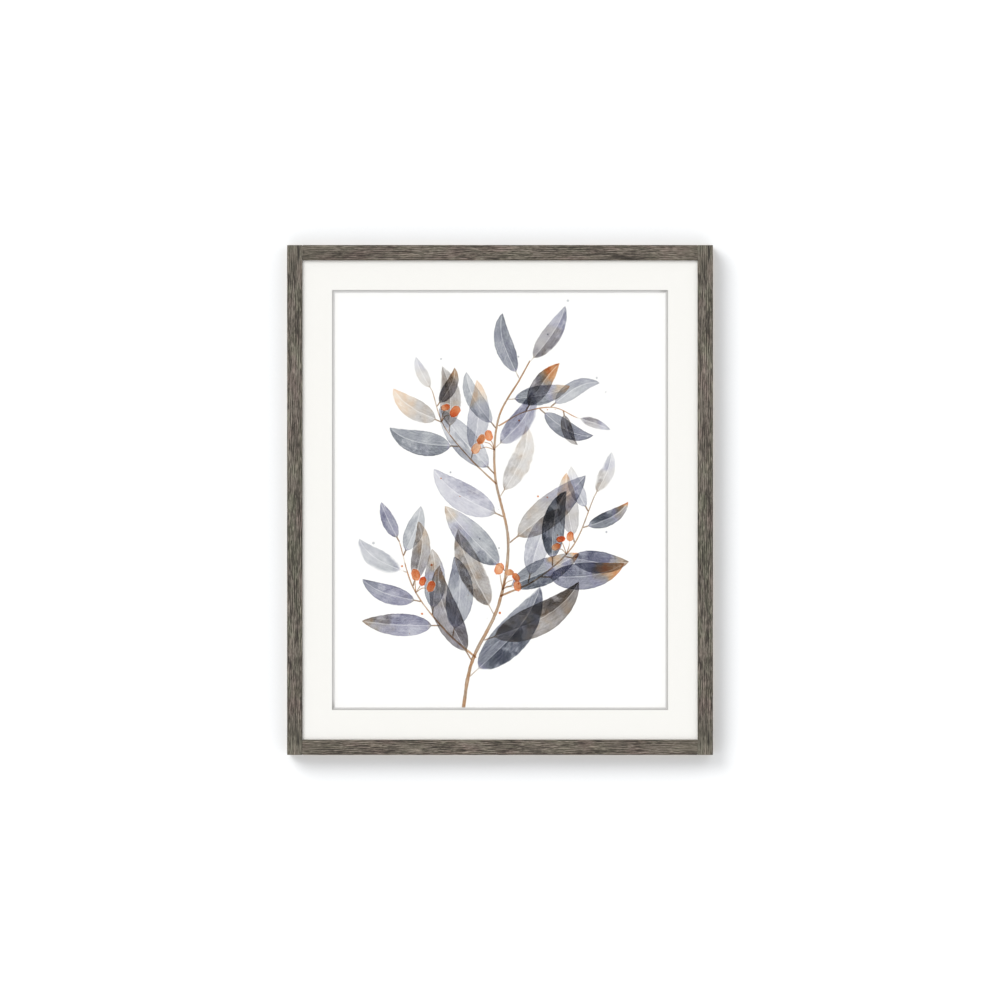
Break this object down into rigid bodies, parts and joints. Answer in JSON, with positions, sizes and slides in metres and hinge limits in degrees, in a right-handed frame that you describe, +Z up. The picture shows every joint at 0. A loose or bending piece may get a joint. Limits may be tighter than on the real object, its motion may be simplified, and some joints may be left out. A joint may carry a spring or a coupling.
{
  "type": "framed art print",
  "caption": "Flat wooden picture frame for a wall with clear glazing, a bevelled mat, a botanical watercolour print, a hardboard back and a sawtooth hanger.",
  "frame": {"origin": "the point on the flat back of the top rail, midway along it, where the nail in the wall meets the middle notch of the sawtooth hanger", "axes": "+X to the right and +Z up for someone who faces the picture; +Y out of the back, towards the wall, so the picture looks along -Y"},
  "size_m": [0.5148, 0.0287, 0.6164],
  "materials": {
    "moulding": "matte",
    "glazing": "polished",
    "mat": "matte",
    "print": "matte",
    "backing": "matte",
    "tab_steel": "satin",
    "staple_wire": "satin",
    "hanger_steel": "satin",
    "nail_steel": "satin",
    "bumper_rubber": "matte"
  },
  "bodies": {
    "root": {"frame_stile_left": "moulding", "frame_stile_right": "moulding", "frame_rail_top": "moulding", "frame_rail_bottom": "moulding", "glazing": "glazing", "mat_board": "mat", "print_sheet": "print", "backing_board": "backing", "retaining_tab_left_1": "tab_steel", "retaining_tab_left_2": "tab_steel", "retaining_tab_left_3": "tab_steel", "retaining_tab_left_4": "tab_steel", "retaining_tab_right_1": "tab_steel", "retaining_tab_right_2": "tab_steel", "retaining_tab_right_3": "tab_steel", "retaining_tab_right_4": "tab_steel", "retaining_tab_bottom_1": "tab_steel", "retaining_tab_bottom_2": "tab_steel", "retaining_tab_bottom_3": "tab_steel", "retaining_tab_top_1": "tab_steel", "retaining_tab_top_2": "tab_steel", "retaining_tab_top_3": "tab_steel", "joint_staple_top_left_1": "staple_wire", "joint_staple_top_left_2": "staple_wire", "joint_staple_top_right_1": "staple_wire", "joint_staple_top_right_2": "staple_wire", "joint_staple_bottom_left_1": "staple_wire", "joint_staple_bottom_left_2": "staple_wire", "joint_staple_bottom_right_1": "staple_wire", "joint_staple_bottom_right_2": "staple_wire", "sawtooth_hanger": "hanger_steel", "hanger_nail_left": "nail_steel", "hanger_nail_right": "nail_steel", "wall_bumper_left": "bumper_rubber", "wall_bumper_right": "bumper_rubber"}
  },
  "joints": []
}
